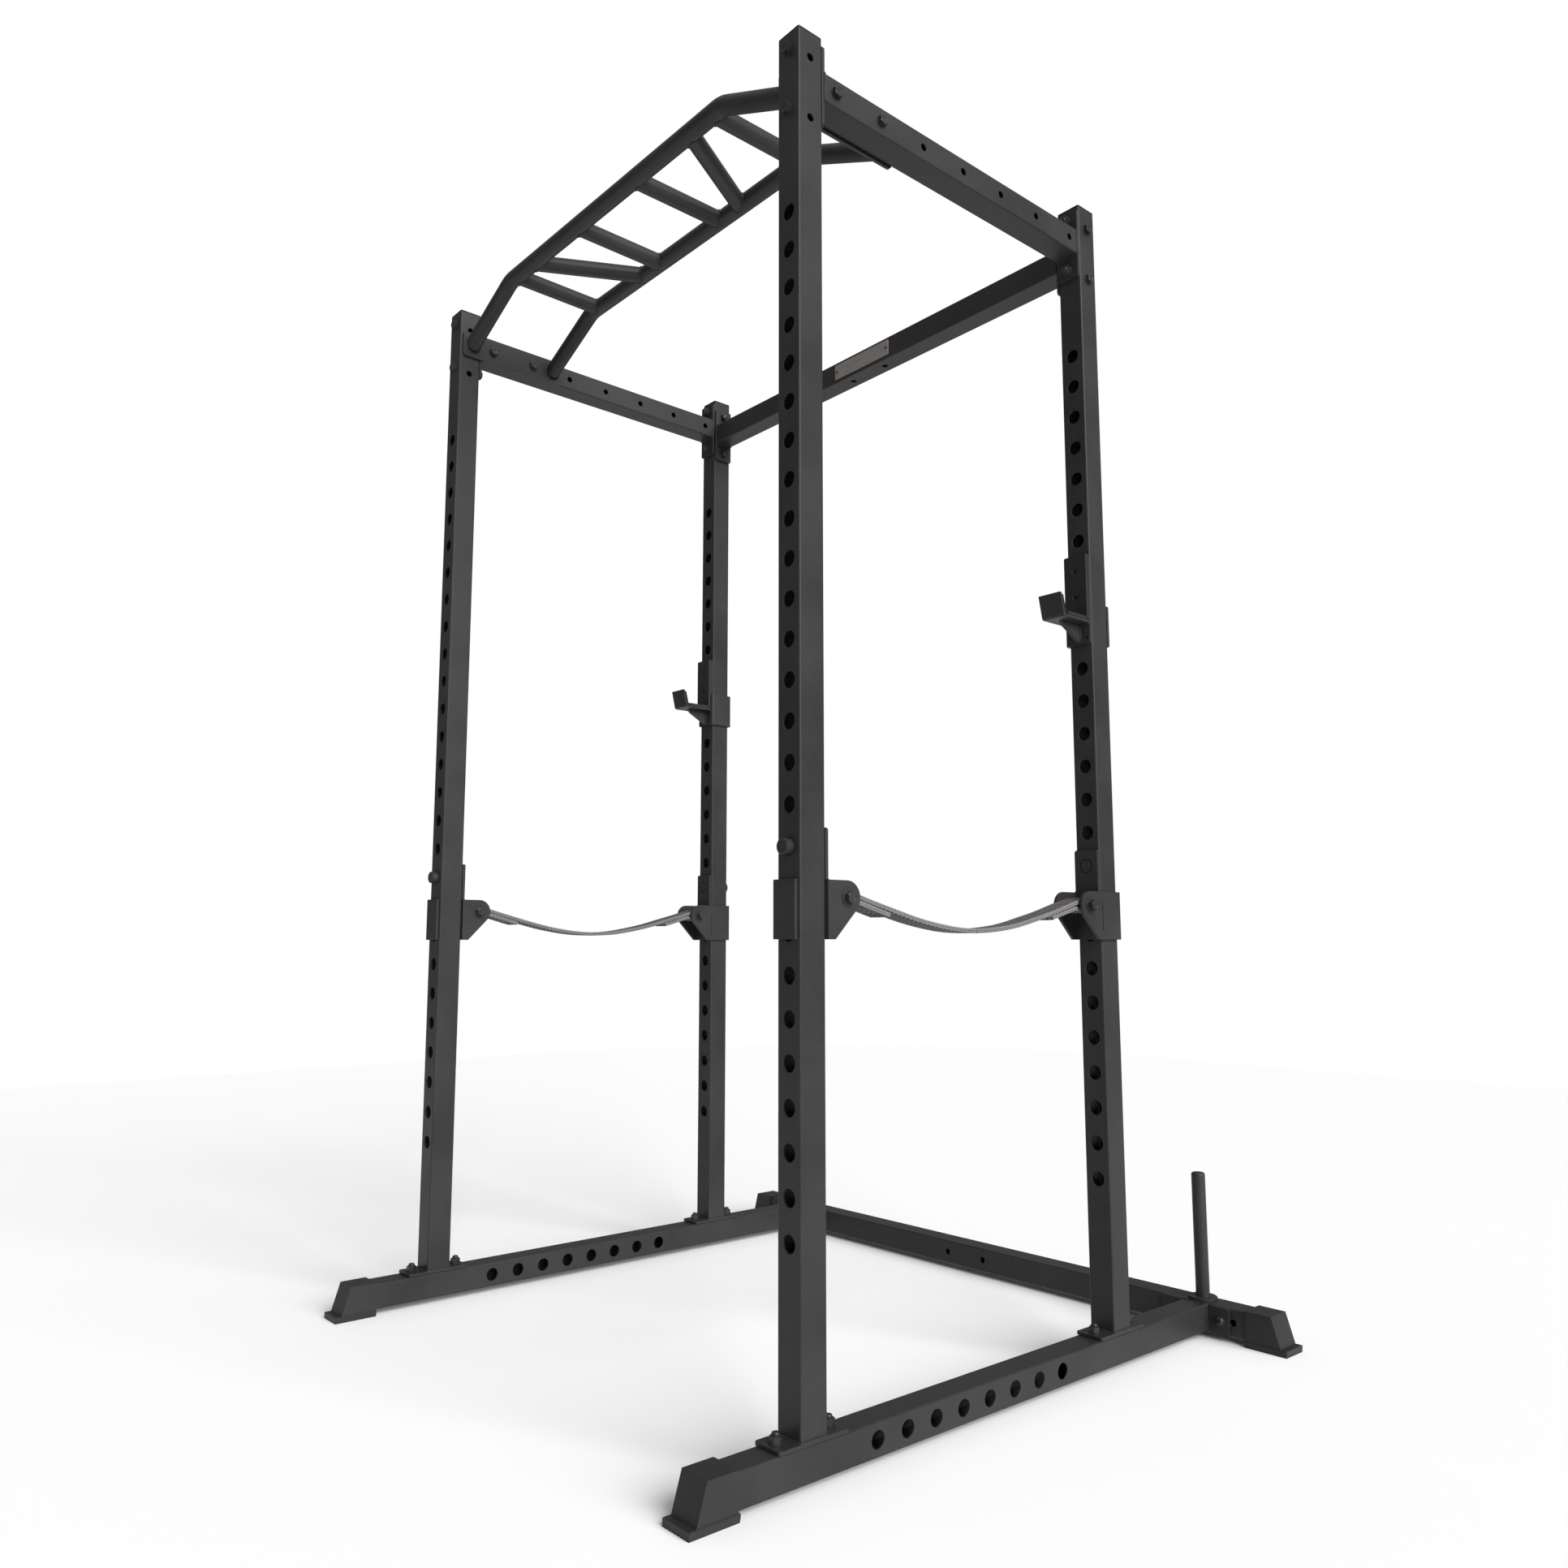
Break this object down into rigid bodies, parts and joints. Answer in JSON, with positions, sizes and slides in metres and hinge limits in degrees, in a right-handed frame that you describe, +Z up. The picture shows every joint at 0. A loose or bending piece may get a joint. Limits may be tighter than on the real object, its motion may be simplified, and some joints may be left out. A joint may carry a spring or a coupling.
{
  "type": "power cage",
  "caption": "Steel power cage for weight training: tube uprights with adjusting holes, multi-grip pull-up bar, J-hooks, webbing safety straps and storage pins.",
  "frame": {"origin": "on the floor, at the middle of the cage's outline (the outline's middle is 60 mm behind the middle of the four uprights)", "axes": "+Z up, +X to the cage's right as seen from its front, -Y towards the front, where the pull-up bar is"},
  "size_m": [1.532, 1.286, 2.2053],
  "materials": {
    "powder_coat": "fine-textured black powder coat",
    "fastener": "black zinc",
    "rubber": "moulded rubber",
    "plastic": "satin black plastic",
    "webbing": "woven grey webbing",
    "name_plate": "brushed taupe metal"
  },
  "bodies": {
    "root": {"upright_front_right": "powder_coat", "upright_plug_front_right": "plastic", "upright_front_left": "powder_coat", "upright_plug_front_left": "plastic", "upright_rear_right": "powder_coat", "upright_plug_rear_right": "plastic", "upright_rear_left": "powder_coat", "upright_plug_rear_left": "plastic", "base_runner_right": "powder_coat", "base_runner_left": "powder_coat", "base_crossbar_rear": "powder_coat", "foot_cap_front_right": "rubber", "foot_cap_front_left": "rubber", "foot_cap_rear_right": "rubber", "foot_cap_rear_left": "rubber", "top_beam_right": "powder_coat", "top_beam_left": "powder_coat", "top_crossbar_rear": "powder_coat", "name_plate": "name_plate", "pull_up_bar": "powder_coat", "storage_pin_right": "powder_coat", "storage_pin_left": "powder_coat", "beam_bolt_front_right_upper": "fastener", "beam_bolt_front_right_lower": "fastener", "beam_bolt_rear_right_upper": "fastener", "beam_bolt_rear_right_lower": "fastener", "crossbar_bolt_right_upper": "fastener", "crossbar_bolt_right_lower": "fastener", "beam_bolt_front_left_upper": "fastener", "beam_bolt_front_left_lower": "fastener", "beam_bolt_rear_left_upper": "fastener", "beam_bolt_rear_left_lower": "fastener", "crossbar_bolt_left_upper": "fastener", "crossbar_bolt_left_lower": "fastener", "base_bolt_front_right_a": "fastener", "base_bolt_front_right_b": "fastener", "base_bolt_rear_right_a": "fastener", "base_bolt_rear_right_b": "fastener", "base_bolt_front_left_a": "fastener", "base_bolt_front_left_b": "fastener", "base_bolt_rear_left_a": "fastener", "base_bolt_rear_left_b": "fastener", "strap_span_right": "webbing", "strap_span_left": "webbing"},
    "j_hook_right": {"j_hook_right": "powder_coat", "j_hook_liner_right": "plastic"},
    "j_hook_left": {"j_hook_left": "powder_coat", "j_hook_liner_left": "plastic"},
    "strap_mount_front_right": {"strap_bracket_front_right": "powder_coat", "strap_bolt_front_right": "fastener", "strap_end_front_right": "webbing"},
    "strap_mount_front_left": {"strap_bracket_front_left": "powder_coat", "strap_bolt_front_left": "fastener", "strap_end_front_left": "webbing"},
    "strap_mount_rear_right": {"strap_bracket_rear_right": "powder_coat", "strap_bolt_rear_right": "fastener", "strap_end_rear_right": "webbing"},
    "strap_mount_rear_left": {"strap_bracket_rear_left": "powder_coat", "strap_bolt_rear_left": "fastener", "strap_end_rear_left": "webbing"}
  },
  "joints": [
    {"name": "j_hook_right_roll", "type": "hinge", "parent": "root", "child": "j_hook_right", "pos_m": [0.5845, 0.282, 1.4459], "axis": [0, 1, 0], "range_deg": [0, 90]},
    {"name": "j_hook_left_roll", "type": "hinge", "parent": "root", "child": "j_hook_left", "pos_m": [-0.5845, 0.282, 1.4459], "axis": [0, -1, 0], "range_deg": [0, 90]},
    {"name": "strap_mount_front_right_roll", "type": "hinge", "parent": "root", "child": "strap_mount_front_right", "pos_m": [0.5845, -0.402, 0.8861], "axis": [0, 1, 0], "range_deg": [0, 60]},
    {"name": "strap_mount_front_left_roll", "type": "hinge", "parent": "root", "child": "strap_mount_front_left", "pos_m": [-0.5845, -0.402, 0.8861], "axis": [0, 1, 0], "range_deg": [0, 60]},
    {"name": "strap_mount_rear_right_roll", "type": "hinge", "parent": "root", "child": "strap_mount_rear_right", "pos_m": [0.5845, 0.282, 0.8861], "axis": [0, -1, 0], "range_deg": [0, 60]},
    {"name": "strap_mount_rear_left_roll", "type": "hinge", "parent": "root", "child": "strap_mount_rear_left", "pos_m": [-0.5845, 0.282, 0.8861], "axis": [0, -1, 0], "range_deg": [0, 60]}
  ]
}
